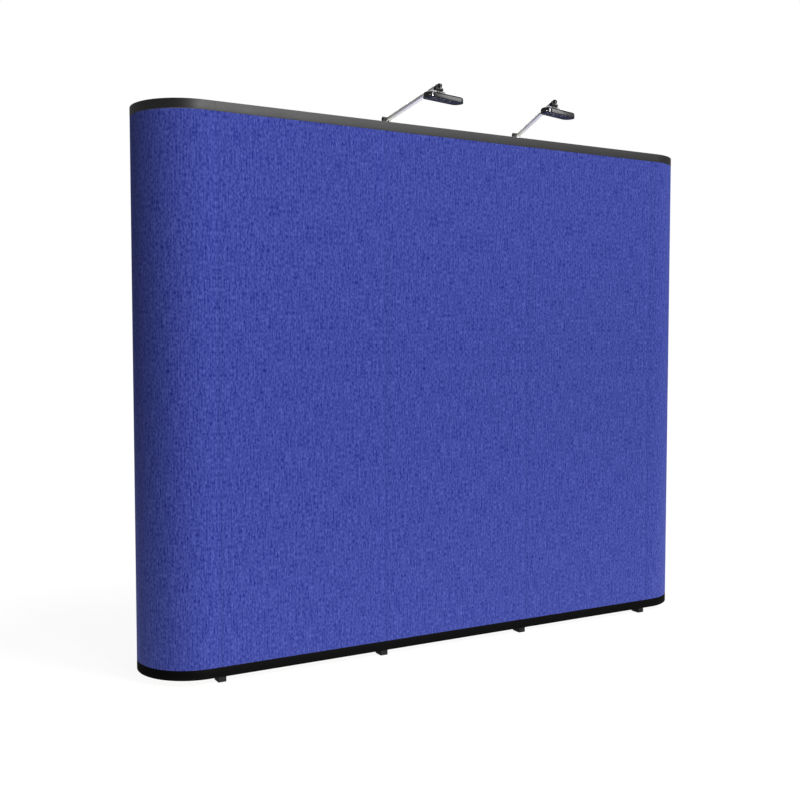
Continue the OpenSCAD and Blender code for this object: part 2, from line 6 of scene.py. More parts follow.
import bmesh
import bpy
import numpy as np
from bpy.props import FloatProperty, FloatVectorProperty, IntProperty, PointerProperty
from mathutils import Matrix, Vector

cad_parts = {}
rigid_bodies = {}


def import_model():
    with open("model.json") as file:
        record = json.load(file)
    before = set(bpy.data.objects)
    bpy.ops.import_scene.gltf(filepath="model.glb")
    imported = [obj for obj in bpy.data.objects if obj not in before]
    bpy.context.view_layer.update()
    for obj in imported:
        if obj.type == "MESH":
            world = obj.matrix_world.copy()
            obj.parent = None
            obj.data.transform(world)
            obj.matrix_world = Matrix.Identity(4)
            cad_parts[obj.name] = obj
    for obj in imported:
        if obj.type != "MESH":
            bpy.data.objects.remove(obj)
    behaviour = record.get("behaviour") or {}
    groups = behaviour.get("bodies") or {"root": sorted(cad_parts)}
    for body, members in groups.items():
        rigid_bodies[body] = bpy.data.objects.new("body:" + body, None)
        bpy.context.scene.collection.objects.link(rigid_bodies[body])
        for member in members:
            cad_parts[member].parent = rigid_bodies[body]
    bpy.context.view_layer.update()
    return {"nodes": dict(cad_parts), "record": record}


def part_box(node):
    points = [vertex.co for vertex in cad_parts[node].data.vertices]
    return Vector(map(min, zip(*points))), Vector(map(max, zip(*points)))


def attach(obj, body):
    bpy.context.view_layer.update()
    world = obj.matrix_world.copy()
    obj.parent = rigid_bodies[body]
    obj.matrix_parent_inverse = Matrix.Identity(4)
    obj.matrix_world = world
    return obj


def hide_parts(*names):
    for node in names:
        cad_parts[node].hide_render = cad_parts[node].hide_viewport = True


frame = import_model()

bl_info = {
    "name": "Exhibition Partition Wall",
    "version": (1, 0, 0),
    "blender": (4, 5, 0),
    "location": "View3D > Sidebar > Partition Wall",
    "description": "Dresses a packed exhibition wall in cloth, rails, boards and lamps",
    "category": "Object",
}

MM = 0.001
RECORD = frame["record"]
JOINTS = {joint["name"]: joint for joint in RECORD["behaviour"]["joints"]}
SLOT_OF = {part["node"]: part["material_slot"] for part in RECORD["subparts"]}
BODY_OF = {node: body for body, nodes in RECORD["behaviour"]["bodies"].items() for node in nodes}
UP = np.array([0.0, 0.0, 1.0])
FRONT_PANELS = ("front_panel_1", "front_panel_2", "front_panel_3")
ENDS = ("left_end", "right_end")
LAMPS = ("lamp_1", "lamp_2")
CLOTH_THICK = 1.2 * MM
RIB_PITCH = 2.7 * MM
FLOOR_REACH = 30.0
FLOOR_GLOW = 0.86
# name, angle across in degrees, height and side in degrees, and whether it casts shadows
LIGHTS = (
    ("key", 20, 45, 38, True),
    ("front", 8, 12, 10, True),
    ("side", 14, 14, 60, True),
    ("bounce", 6, -90, 0, False),
    ("back", 40, 28, 155, False),
)


# ---- settings ------------------------------------------------------------------------------------


class ClothSettings(bpy.types.PropertyGroup):
    """Cloth of the panel covers."""

    shade: FloatVectorProperty(
        name="Cloth", description="Mean colour of the heathered cloth",
        subtype="COLOR", default=(0.0560, 0.0775, 0.400), min=0, max=1,
    )
    fleck: FloatProperty(
        name="Fleck", description="Strength of the light and dark flecks",
        subtype="FACTOR", default=1.0, min=0, max=2,
    )
    overhang: FloatProperty(
        name="Overhang", description="How far the cloth stands past its board at the seams",
        unit="LENGTH", default=0.2 * MM, min=0, max=0.24 * MM,
    )
    edge: FloatProperty(
        name="Edge roll", description="Radius that the cover's cut edges are rolled to",
        unit="LENGTH", default=0.2 * MM, min=0.1 * MM, max=0.6 * MM,
    )
    columns: IntProperty(
        name="Columns", description="Grid columns round a curved end", default=96, min=24, max=240,
    )


class RailSettings(bpy.types.PropertyGroup):
    """Head and sole rails."""

    shade: FloatVectorProperty(
        name="Rail", description="Colour of the satin coating",
        subtype="COLOR", default=(0.003, 0.003, 0.003), min=0, max=1,
    )
    corner: FloatProperty(
        name="Corner", description="Radius of the rails' long corners",
        unit="LENGTH", default=1.2 * MM, min=0.2 * MM, max=3 * MM,
    )


class FrameSettings(bpy.types.PropertyGroup):
    """Posts, ties, feet and boards."""

    metal: FloatVectorProperty(
        name="Aluminium", description="Colour of the anodised posts and ties",
        subtype="COLOR", default=(0.62, 0.63, 0.65), min=0, max=1,
    )
    wood: FloatVectorProperty(
        name="Board", description="Colour of the plywood faces",
        subtype="COLOR", default=(0.52, 0.36, 0.21), min=0, max=1,
    )
    soften: FloatProperty(
        name="Soft edge", description="Width of the softened edges of cut metal",
        unit="LENGTH", default=0.6 * MM, min=0.1 * MM, max=2 * MM,
    )


class LampSettings(bpy.types.PropertyGroup):
    """Clamp-on floodlights."""

    enamel: FloatVectorProperty(
        name="Enamel", description="Colour of the gloss enamel",
        subtype="COLOR", default=(0.008, 0.008, 0.009), min=0, max=1,
    )
    groove: FloatProperty(
        name="Groove", description="Depth of the line round the housing above its lip",
        unit="LENGTH", default=0.6 * MM, min=0, max=1.2 * MM,
    )
    segments: IntProperty(
        name="Segments", description="Segments round one half-round end of a head",
        default=28, min=8, max=64,
    )


class StudioSettings(bpy.types.PropertyGroup):
    """Floor, light and camera."""

    floor: FloatVectorProperty(
        name="Floor", description="Colour of the pale floor",
        subtype="COLOR", default=(0.22, 0.22, 0.22), min=0, max=1,
    )
    key: FloatProperty(
        name="Key light", description="Strength of the main light", default=1.65, min=0, max=20,
    )
    front: FloatProperty(
        name="Front light", description="Strength of the low front light", default=1.2, min=0, max=20,
    )
    side: FloatProperty(
        name="Side light", description="Strength of the low light from the right", default=0.16, min=0, max=20,
    )
    bounce: FloatProperty(
        name="Bounce light", description="Strength of the light thrown up by the floor",
        default=3.5, min=0, max=20,
    )
    back: FloatProperty(
        name="Back light", description="Strength of the soft light on the open back",
        default=1.3, min=0, max=20,
    )
    fill: FloatProperty(
        name="Fill light", description="Strength of the even light", default=0.22, min=0, max=5,
    )


GROUPS = {
    "wall_cloth": ClothSettings,
    "wall_rails": RailSettings,
    "wall_frame": FrameSettings,
    "wall_lamps": LampSettings,
    "wall_studio": StudioSettings,
}


# ---- surfaces ------------------------------------------------------------------------------------


def grid_faces(rows, cols, start=0, wrap_rows=False, wrap_cols=False):
    """Quads of a rows x cols grid, counted from start; a wrapped side joins its last line to its first."""
    r, c = np.meshgrid(np.arange(rows - (not wrap_rows)), np.arange(cols - (not wrap_cols)), indexing="ij")
    r2, c2 = (r + 1) % rows, (c + 1) % cols
    return start + np.stack([r * cols + c, r2 * cols + c, r2 * cols + c2, r * cols + c2], -1).reshape(-1, 4)


def rounded_box(width, height, radius, steps=5):
    """Closed outline about the origin in four quarter circles: point = corner + radius (cos a, sin a)."""
    a = (np.arange(4)[:, None] * 90 + np.linspace(0, 90, steps)[None, :]) * math.pi / 180
    sx = np.array([1, -1, -1, 1])[:, None] * (width / 2 - radius)
    sy = np.array([1, 1, -1, -1])[:, None] * (height / 2 - radius)
    return np.stack([sx + radius * np.cos(a), sy + radius * np.sin(a)], -1).reshape(-1, 2)


def carry(outline, path, side, up=UP):
    """Outline carried along a path: point = path + outline across * side + outline height * up."""
    return path[:, None, :] + outline[..., 0:1] * side[:, None, :] + outline[..., 1:2] * up


def turn_about(rows, centre, angles):
    """Surface of revolution about X: point = centre + (x, r cos a, r sin a) for each (x, r) of the rows."""
    x, r = rows[:, 0:1], rows[:, 1:2]
    return np.stack([x + 0 * angles, r * np.cos(angles), r * np.sin(angles)], -1) + centre


def oblong(path, half, segments):
    """Straight middle, half-round ends: point = (+-half + d cos a, d sin a, z) for each (d, z) of the path."""
    a = np.linspace(-90, 90, segments + 1) * math.pi / 180
    a = np.concatenate([a, a + math.pi])
    ends = np.repeat([half, -half], segments + 1)
    d, z = path[:, 0:1], path[:, 1:2]
    return np.stack([ends + d * np.cos(a), d * np.sin(a), z + 0 * a], -1)


def arc(centre, radius, start, stop, steps):
    """Points centre + radius (cos a, sin a) from start to stop, in degrees."""
    a = np.linspace(start, stop, steps) * math.pi / 180
    return np.stack([centre[0] + radius * np.cos(a), centre[1] + radius * np.sin(a)], -1)


class Shape:
    """Grids and caps gathered into one mesh, each with its own material number and map."""

    def __init__(self):
        self.points, self.faces, self.finish, self.maps = [], [], [], []
        self.count = 0

    def grid(self, points, wrap_rows=False, wrap_cols=False, finish=0, uv=None):
        rows, cols = points.shape[:2]
        faces = grid_faces(rows, cols, self.count, wrap_rows, wrap_cols)
        self.add(points.reshape(-1, 3), faces.tolist(), finish, None if uv is None else uv.reshape(-1, 2))
        return self

    def tube(self, points, finish=0, uv=None):
        """Closed outlines joined along a path, with a face across each end."""
        rows, cols = points.shape[:2]
        first = self.count
        self.grid(points, wrap_cols=True, finish=finish, uv=uv)
        last = first + (rows - 1) * cols
        self.faces += [list(range(first, first + cols)), list(range(last, last + cols))[::-1]]
        self.finish += [finish, finish]
        return self

    def add(self, points, faces, finish, uv):
        self.points.append(points)
        self.maps.append(np.zeros((len(points), 2)) if uv is None else uv)
        self.faces += faces
        self.finish += [finish] * len(faces)
        self.count += len(points)

    def piece(self, name, body, materials, slot, replaced=(), sharp=40, mapped=False):
        """The finished object, its doubles merged and its faces turned outwards, riding on a body."""
        mesh = bpy.data.meshes.new(name)
        mesh.from_pydata(np.concatenate(self.points), [], self.faces)
        mesh.polygons.foreach_set("material_index", self.finish)
        if mapped:
            layer, flat = mesh.uv_layers.new(name="cloth"), np.concatenate(self.maps)
            corner = np.empty(len(mesh.loops), np.int64)
            mesh.loops.foreach_get("vertex_index", corner)
            layer.data.foreach_set("uv", flat[corner].ravel())
        work = bmesh.new()
        work.from_mesh(mesh)
        bmesh.ops.remove_doubles(work, verts=work.verts, dist=1e-6)
        bmesh.ops.dissolve_degenerate(work, edges=work.edges, dist=1e-7)
        bmesh.ops.recalc_face_normals(work, faces=work.faces)
        work.to_mesh(mesh)
        work.free()
        mesh.shade_smooth()
        mesh.set_sharp_from_angle(angle=math.radians(sharp))
        for material in materials:
            mesh.materials.append(material)
        made = bpy.data.objects.new(name, mesh)
        bpy.context.scene.collection.objects.link(made)
        made.visible_shadow = not name.startswith(LAMPS)
        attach(made, body)
        if replaced:
            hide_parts(*replaced)
        return made


def soften(node, width, segments=2):
    """Rounds a CAD node's edges by modifiers alone."""
    made = frame["nodes"][node]
    weld = made.modifiers.new("weld", "WELD")
    weld.merge_threshold = 1e-5
    bevel = made.modifiers.new("soft_edges", "BEVEL")
    bevel.width, bevel.segments, bevel.limit_method = width, segments, "ANGLE"
    bevel.angle_limit = math.radians(35)
    bevel.harden_normals = True
    return made


def paint(node, material):
    """Gives every material slot of a CAD node one material."""
    slots = frame["nodes"][node].material_slots
    for slot in slots:
        slot.link = "OBJECT"
        slot.material = material


# ---- shader groups -------------------------------------------------------------------------------


class Tree:
    """A node tree with short ways to add and join nodes."""

    def __init__(self, tree):
        self.tree = tree

    def add(self, kind, values=(), **settings):
        made = self.tree.nodes.new(kind)
        for name, value in settings.items():
            setattr(made, name, value)
        for socket, value in dict(values).items():
            if isinstance(value, bpy.types.NodeSocket):
                self.tree.links.new(value, made.inputs[socket])
            else:
                made.inputs[socket].default_value = value
        return made

    def math(self, operation, *values, clamp=False):
        made = self.add("ShaderNodeMath", enumerate(values), operation=operation, use_clamp=clamp)
        return made.outputs[0]

    def where(self):
        return self.add("ShaderNodeTexCoord").outputs["Object"]

    def weighted(self, *terms):
        """Sum of (value - middle) * weight over the terms (value, middle, weight)."""
        total = 0.0
        for value, middle, weight in terms:
            total = self.math("ADD", total, self.math("MULTIPLY", self.math("SUBTRACT", value, middle), weight))
        return total

    def scaled(self, vector, factors):
        return self.add("ShaderNodeVectorMath", {0: vector, 1: factors}, operation="MULTIPLY").outputs[0]

    def noise(self, vector, scale=1.0, detail=2.0, roughness=0.5):
        values = {"Vector": vector, "Scale": scale, "Detail": detail, "Roughness": roughness}
        return self.add("ShaderNodeTexNoise", values).outputs["Fac"]

    def spread(self, value, low, high, to_low=0.0, to_high=1.0):
        values = {"Value": value, "From Min": low, "From Max": high, "To Min": to_low, "To Max": to_high}
        return self.add("ShaderNodeMapRange", values, clamp=True).outputs["Result"]

    def mix(self, factor, a, b, blend="MIX"):
        made = self.add("ShaderNodeMix", data_type="RGBA", blend_type=blend)
        for socket, value in ((made.inputs[0], factor), (made.inputs[6], a), (made.inputs[7], b)):
            if isinstance(value, bpy.types.NodeSocket):
                self.tree.links.new(value, socket)
            else:
                socket.default_value = value
        return made.outputs[2]


def shared(name, inputs, outputs):
    """A new shader group with named inputs and outputs, each given as name: (kind, default)."""
    group = bpy.data.node_groups.new(name, "ShaderNodeTree")
    for side, sockets in (("INPUT", inputs), ("OUTPUT", outputs)):
        for label, (kind, default) in sockets.items():
            made = group.interface.new_socket(name=label, in_out=side, socket_type=f"NodeSocket{kind}")
            if default is not None:
                made.default_value = default
    tree = Tree(group)
    return tree, tree.add("NodeGroupInput").outputs, tree.add("NodeGroupOutput").inputs


def join(tree, outputs, **values):
    for name, value in values.items():
        tree.tree.links.new(value, outputs[name.replace("_", " ")])


def loop_cloth_group():
    """Heathered loop cloth: upright flecks and faint columns for colour, ribs and loops for height, and painted
    shade where the loops and ribs dip.
    """
    tree, given, made = shared(
        "loop_cloth",
        {"Vector": ("Vector", None), "Colour": ("Color", (0.5, 0.5, 0.5, 1)), "Fleck": ("Float", 1.0)},
        {"Colour": ("Color", None), "Height": ("Float", None), "Fuzz": ("Float", None)},
    )
    where = given["Vector"]
    fleck = tree.spread(tree.noise(tree.scaled(where, (150, 70, 1)), 1.0, 2.0, 0.6), 0.28, 0.72)
    column = tree.spread(tree.noise(tree.scaled(where, (170, 11, 1)), 1.0, 1.0, 0.5), 0.3, 0.7)
    cloud = tree.noise(tree.scaled(where, (34, 22, 1)), 1.0, 3.0, 0.6)
    cells = {"Vector": tree.scaled(where, (800, 560, 1)), "Scale": 1.0}
    loops = tree.add("ShaderNodeTexVoronoi", cells, distance="EUCLIDEAN").outputs["Distance"]
    across = tree.add("ShaderNodeSeparateXYZ", {0: where}).outputs[0]
    rib = tree.math("SINE", tree.math("MULTIPLY", across, 2 * math.pi / RIB_PITCH))
    # The flecks, columns and cloud are the cloth's own tone; the loop and rib terms darken the colour where the
    # height is low, which is painted shade in the hollows between the loops and in the rib troughs.
    tone = tree.weighted(
        (fleck, 0.5, 0.68), (column, 0.5, 0.30), (cloud, 0.5, 0.12), (loops, 0.45, -0.16), (rib, 0.0, 0.012),
    )
    tone = tree.math("MULTIPLY", tone, given["Fleck"])
    shift = [tree.math("MULTIPLY", tone, share) for share in (0.13, 0.155, 0.385)]
    lift = tree.add("ShaderNodeCombineColor", enumerate(shift))
    raised = tree.mix(1.0, given["Colour"], lift.outputs[0], "ADD")
    low = tree.mix(1.0, raised, (0.012, 0.016, 0.09, 1), "LIGHTEN")
    height = tree.math("ADD", tree.math("MULTIPLY", loops, -0.7), tree.math("MULTIPLY", rib, 0.25))
    height = tree.math("ADD", height, tree.math("MULTIPLY", fleck, 0.5))
    join(tree, made, Colour=low, Height=height, Fuzz=tree.spread(fleck, 0.0, 1.0, 0.86, 0.97))
    return tree.tree


def grain_group():
    """Fine even grain of a coating or a moulding: height, and a roughness that drifts about its mean."""
    tree, given, made = shared(
        "coat_grain",
        {"Scale": ("Float", 900.0), "Roughness": ("Float", 0.5), "Drift": ("Float", 0.06)},
        {"Height": ("Float", None), "Roughness": ("Float", None)},
    )
    where = tree.where()
    fine = tree.noise(where, given["Scale"], 3.0, 0.6)
    slow = tree.noise(where, 7.0, 3.0, 0.55)
    reach = tree.math("MULTIPLY", given["Drift"], 4.0)
    drift = tree.math("MULTIPLY", tree.math("SUBTRACT", slow, 0.5), reach)
    join(tree, made, Height=fine, Roughness=tree.math("ADD", given["Roughness"], drift, clamp=True))
    return tree.tree


def brushed_group():
    """Lines drawn along one direction: noise squeezed across it, for height and for brightness."""
    tree, given, made = shared(
        "drawn_lines",
        {"Stretch": ("Vector", (900.0, 900.0, 8.0)), "Roughness": ("Float", 0.35)},
        {"Height": ("Float", None), "Tone": ("Float", None), "Roughness": ("Float", None)},
    )
    where = tree.where()
    lines = tree.noise(tree.scaled(where, given["Stretch"]), 1.0, 3.0, 0.6)
    tone = tree.spread(lines, 0.3, 0.7, 0.92, 1.0)
    uneven = tree.math("MULTIPLY", tree.math("SUBTRACT", lines, 0.5), 0.25)
    rough = tree.math("ADD", given["Roughness"], uneven, clamp=True)
    join(tree, made, Height=lines, Tone=tone, Roughness=rough)
    return tree.tree


def scuff_group():
    """Marks of handling: thin stretched scratches and rubbed patches, as one mask."""
    tree, given, made = shared(
        "scuffs", {"Amount": ("Float", 0.3), "Scale": ("Float", 60.0)}, {"Mask": ("Float", None)}
    )
    where = tree.where()
    slant = {0: where, 1: (0.31, 0.17, 0.0)}
    bent = tree.add("ShaderNodeVectorMath", slant, operation="CROSS_PRODUCT").outputs[0]
    lines = tree.noise(tree.scaled(bent, (9, 2, 9)), given["Scale"], 2.0, 0.7)
    patch = tree.noise(where, tree.math("MULTIPLY", given["Scale"], 0.12), 3.0, 0.6)
    mask = tree.math("MULTIPLY", tree.spread(lines, 0.62, 0.74), tree.spread(patch, 0.45, 0.7))
    join(tree, made, Mask=tree.math("MULTIPLY", mask, given["Amount"]))
    return tree.tree


def dust_group():
    """Light dust that lies on faces that look up."""
    tree, given, made = shared("settled_dust", {"Amount": ("Float", 0.2)}, {"Mask": ("Float", None)})
    where = tree.where()
    facing = tree.add("ShaderNodeNewGeometry").outputs["Normal"]
    upward = tree.add("ShaderNodeSeparateXYZ", {0: facing}).outputs[2]
    patch = tree.spread(tree.noise(where, 45.0, 4.0, 0.65), 0.35, 0.75)
    mask = tree.math("MULTIPLY", tree.spread(upward, 0.6, 1.0), patch)
    join(tree, made, Mask=tree.math("MULTIPLY", mask, given["Amount"]))
    return tree.tree


def shared_groups():
    """Every shared shader group, built once and kept by name."""
    makers = (loop_cloth_group, grain_group, brushed_group, scuff_group, dust_group)
    return {group.name: group for group in (maker() for maker in makers)}


# ---- materials -----------------------------------------------------------------------------------


class Finish(Tree):
    """A material with one Principled shader, fed by the shared groups."""

    def __init__(self, name, groups, **constants):
        self.material = bpy.data.materials.new(name)
        self.material.use_nodes = True
        super().__init__(self.material.node_tree)
        self.groups = groups
        self.shader = next(n for n in self.tree.nodes if n.type == "BSDF_PRINCIPLED")
        for socket, value in constants.items():
            self.shader.inputs[socket.replace("_", " ")].default_value = value

    def effect(self, name, **values):
        made = self.tree.nodes.new("ShaderNodeGroup")
        made.node_tree = self.groups[name]
        for socket, value in values.items():
            if isinstance(value, bpy.types.NodeSocket):
                self.tree.links.new(value, made.inputs[socket])
            else:
                made.inputs[socket].default_value = value
        return made.outputs

    def feed(self, **values):
        for socket, value in values.items():
            self.tree.links.new(value, self.shader.inputs[socket.replace("_", " ")])

    def bump(self, height, distance, strength=1.0):
        made = self.add("ShaderNodeBump", {"Height": height, "Distance": distance, "Strength": strength})
        self.feed(Normal=made.outputs["Normal"])


def solid(colour):
    return (*colour, 1.0)


def cloth_finish(groups, shade, fleck):
    """Dull heathered loop cloth that follows the cover's own map."""
    made = Finish("heathered_cloth", groups, Specular_IOR_Level=0.15, Sheen_Weight=0.12, Sheen_Roughness=0.6)
    made.shader.inputs["Sheen Tint"].default_value = (0.55, 0.6, 0.9, 1)
    where = made.add("ShaderNodeUVMap", uv_map="cloth").outputs["UV"]
    cloth = made.effect("loop_cloth", Vector=where, Colour=solid(shade), Fleck=fleck)
    made.feed(Base_Color=cloth["Colour"], Roughness=cloth["Fuzz"])
    made.bump(cloth["Height"], 0.25 * MM, 0.6)
    return made.material


def coat_finish(name, groups, shade, roughness, grain=900.0, depth=0.02, wear=0.15, dust=0.12, **constants):
    """Black or dark coating with fine grain, a few scuffs and a little dust on top."""
    made = Finish(name, groups, **constants)
    coat = made.effect("coat_grain", Scale=grain, Roughness=roughness, Drift=0.04)
    scuffs = made.effect("scuffs", Amount=wear, Scale=60.0)["Mask"]
    dusty = made.effect("settled_dust", Amount=dust)["Mask"]
    rubbed = made.mix(scuffs, solid(shade), (0.09, 0.09, 0.09, 1))
    made.feed(Base_Color=made.mix(dusty, rubbed, (0.30, 0.29, 0.27, 1)), Roughness=coat["Roughness"])
    made.bump(coat["Height"], depth * MM)
    return made.material


def metal_finish(name, groups, shade, roughness, stretch, depth=0.006, wear=0.1, metallic=1.0):
    """Drawn or anodised metal with lines along its length."""
    made = Finish(name, groups, Metallic=metallic)
    lines = made.effect("drawn_lines", Stretch=stretch, Roughness=roughness)
    tone = made.mix(1.0, solid(shade), lines["Tone"], "MULTIPLY")
    scuffs = made.effect("scuffs", Amount=wear, Scale=40.0)["Mask"]
    made.feed(Base_Color=made.mix(scuffs, tone, (0.30, 0.30, 0.31, 1)), Roughness=lines["Roughness"])
    made.bump(lines["Height"], depth * MM)
    return made.material


def board_finish(groups, shade):
    """Thin plywood: long upright figure and fine pores."""
    made = Finish("thin_plywood", groups, Specular_IOR_Level=0.3)
    where = made.where()
    figure = made.noise(made.scaled(where, (26, 26, 1.6)), 1.0, 5.0, 0.62)
    pores = made.noise(made.scaled(where, (1400, 1400, 45)), 1.0, 2.0, 0.6)
    ring = made.math("SINE", made.math("MULTIPLY", figure, 42.0))
    shade_mix = made.spread(made.math("ADD", ring, made.math("MULTIPLY", pores, 0.8)), -0.9, 1.7)
    dark = tuple(c * 0.76 for c in shade)
    colour = made.mix(shade_mix, solid(dark), solid(shade))
    pore_mask = made.spread(pores, 0.6, 0.75, 0.0, 0.35)
    colour = made.mix(pore_mask, colour, solid(tuple(c * 0.35 for c in shade)))
    made.feed(Base_Color=colour, Roughness=made.spread(pores, 0.3, 0.7, 0.52, 0.68))
    made.bump(made.math("ADD", pores, ring), 0.04 * MM, 0.7)
    return made.material


def plain_glass(name, groups, roughness, tint, weight, bend=1.47):
    """Clear, smoked or frosted glass."""
    made = Finish(name, groups, Transmission_Weight=weight, IOR=bend)
    grain = made.effect("coat_grain", Scale=300.0, Roughness=roughness, Drift=0.02)
    slow = made.noise(made.where(), 30.0, 2.0, 0.5)
    made.feed(
        Base_Color=made.mix(made.spread(slow, 0.3, 0.7), solid(tint), solid(tuple(c * 0.96 for c in tint))),
        Roughness=grain["Roughness"],
    )
    return made.material


def hammered_finish(groups):
    """Bright reflector sheet with shallow dimples."""
    made = Finish("bright_reflector", groups, Metallic=1.0)
    cells = {"Vector": made.where(), "Scale": 320.0}
    dimples = made.add("ShaderNodeTexVoronoi", cells, feature="SMOOTH_F1").outputs["Distance"]
    made.feed(
        Base_Color=made.mix(made.spread(dimples, 0.0, 0.9), (0.9, 0.88, 0.88, 1), (0.78, 0.75, 0.75, 1)),
        Roughness=made.spread(dimples, 0.0, 0.9, 0.10, 0.2),
    )
    made.bump(dimples, 0.35 * MM, 0.8)
    return made.material


def ceramic_finish(groups):
    """White unglazed ceramic of the bulb holders."""
    made = Finish("ceramic", groups, Specular_IOR_Level=0.4)
    grain = made.effect("coat_grain", Scale=500.0, Roughness=0.6, Drift=0.05)
    slow = made.noise(made.where(), 90.0, 3.0, 0.6)
    tone = made.mix(slow, (0.72, 0.70, 0.66, 1), (0.84, 0.83, 0.80, 1))
    made.feed(Base_Color=tone, Roughness=grain["Roughness"])
    made.bump(grain["Height"], 0.05 * MM)
    return made.material


# ---- operators -----------------------------------------------------------------------------------

FINISHES = {}


class PARTITION_OT_finishes(bpy.types.Operator):
    """Make every material and the shader groups they share"""

    bl_idname = "partition_wall.finishes"
    bl_label = "Finishes"

    def execute(self, context):
        scene = context.scene
        cloth, metal = scene.wall_cloth, scene.wall_frame
        coating, enamel = tuple(scene.wall_rails.shade), tuple(scene.wall_lamps.enamel)
        groups = shared_groups()
        satin = {"grain": 1200.0, "depth": 0.012, "wear": 0.10, "dust": 0.05}
        FINISHES.update(
            blue_fabric=cloth_finish(groups, tuple(cloth.shade), cloth.fleck),
            dark_rail=coat_finish("satin_rail", groups, coating, 0.46, **satin, Specular_IOR_Level=0.8),
            # Painted shade: a shaded copy of the head rails' satin coating, with the same colour but its shine
            # turned nearly off (0.09 against 0.8), so that the sole rails look darker.
            sole_rail=coat_finish("matt_rail", groups, coating, 0.5, **satin, Specular_IOR_Level=0.09),
            black_plastic=coat_finish(
                "moulded_black", groups, (0.014, 0.014, 0.015), 0.5,
                grain=700.0, depth=0.06, wear=0.12, dust=0.10,
            ),
            magnet=coat_finish(
                "flexible_magnet", groups, (0.03, 0.028, 0.027), 0.75,
                grain=500.0, depth=0.08, wear=0.10, dust=0.05,
            ),
            black_lamp_enamel=coat_finish(
                "lamp_enamel", groups, enamel, 0.22, grain=260.0, depth=0.02, wear=0.05, dust=0.04,
                Coat_Weight=0.8, Coat_Roughness=0.10,
            ),
            lamp_inside=coat_finish(
                "heat_black", groups, enamel, 0.6, grain=500.0, depth=0.03, wear=0.05, dust=0.0,
                Specular_IOR_Level=0.08,
            ),
            aluminium_frame=metal_finish(
                "anodised_aluminium", groups, tuple(metal.metal), 0.38, (900.0, 900.0, 8.0),
            ),
            steel=metal_finish("zinc_steel", groups, (0.52, 0.53, 0.55), 0.35, (500.0, 40.0, 500.0)),
            polished_arm=metal_finish(
                "satin_tube", groups, (0.88, 0.86, 0.81), 0.38, (700.0, 12.0, 700.0),
                depth=0.003, wear=0.06, metallic=0.5,
            ),
            board=board_finish(groups, tuple(metal.wood)),
            reflector=hammered_finish(groups),
            bulb=plain_glass("frosted_quartz", groups, 0.35, (0.93, 0.93, 0.92), 0.6),
            lamp_glass=plain_glass("smoked_glass", groups, 0.04, (0.20, 0.205, 0.21), 0.95, 1.06),
            ceramic=ceramic_finish(groups),
        )
        for node in frame["nodes"]:
            paint(node, FINISHES[SLOT_OF[node]])
            frame["nodes"][node].visible_shadow = not node.startswith(LAMPS)
        return {"FINISHED"}


def box_of(node):
    low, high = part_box(node)
    return np.array(low), np.array(high)


def end_run(node, columns, overhang=0.0):
    """Plan run of a half-round end along its outer face, from the front seam round to the rear one: a
    straight, half a circle, and a straight. Gives points, outward normals and length along the run."""
    low, high = box_of(node)
    side = 1.0 if low[0] > 0 else -1.0
    seam = min(abs(low[0]), abs(high[0])) - overhang
    reach = max(abs(low[0]), abs(high[0]))
    middle, radius = (low[1] + high[1]) / 2, (high[1] - low[1]) / 2
    centre = reach - radius
    turn = np.linspace(-90, 90, columns + 1) * math.pi / 180
    x = np.concatenate([[seam], centre + radius * np.cos(turn), [seam]])
    y = np.concatenate([[middle - radius], middle + radius * np.sin(turn), [middle + radius]])
    nx = np.concatenate([[0.0], np.cos(turn), [0.0]])
    ny = np.concatenate([[-1.0], np.sin(turn), [1.0]])
    points = np.stack([side * x, y, 0 * x], -1)
    normals = np.stack([side * nx, ny, 0 * x], -1)
    steps = np.linalg.norm(np.diff(points[:, :2], axis=0), axis=1)
    return points, normals, np.concatenate([[0.0], np.cumsum(steps)])


def flat_run(node, overhang=0.0):
    """Plan run of a flat panel or rail along its outer face: two ends, facing away from the middle."""
    low, high = box_of(node)
    out = -1.0 if low[1] < 0 else 1.0
    y = low[1] if out < 0 else high[1]
    points = np.array([[low[0] - overhang, y, 0.0], [high[0] + overhang, y, 0.0]])
    normals = np.array([[0.0, out, 0.0]] * 2)
    return points, normals, np.array([0.0, points[1, 0] - points[0, 0]])


def refine(run, ends, extra):
    """Adds places near both ends of a run, at the given distances from them, and extra ones between."""
    points, normals, along = run
    places = np.unique(np.concatenate([along, ends, along[-1] - ends, extra]))
    pick = [np.interp(places, along, values[:, k]) for values in (points, normals) for k in range(3)]
    return np.stack(pick[:3], -1), np.stack(pick[3:], -1), places


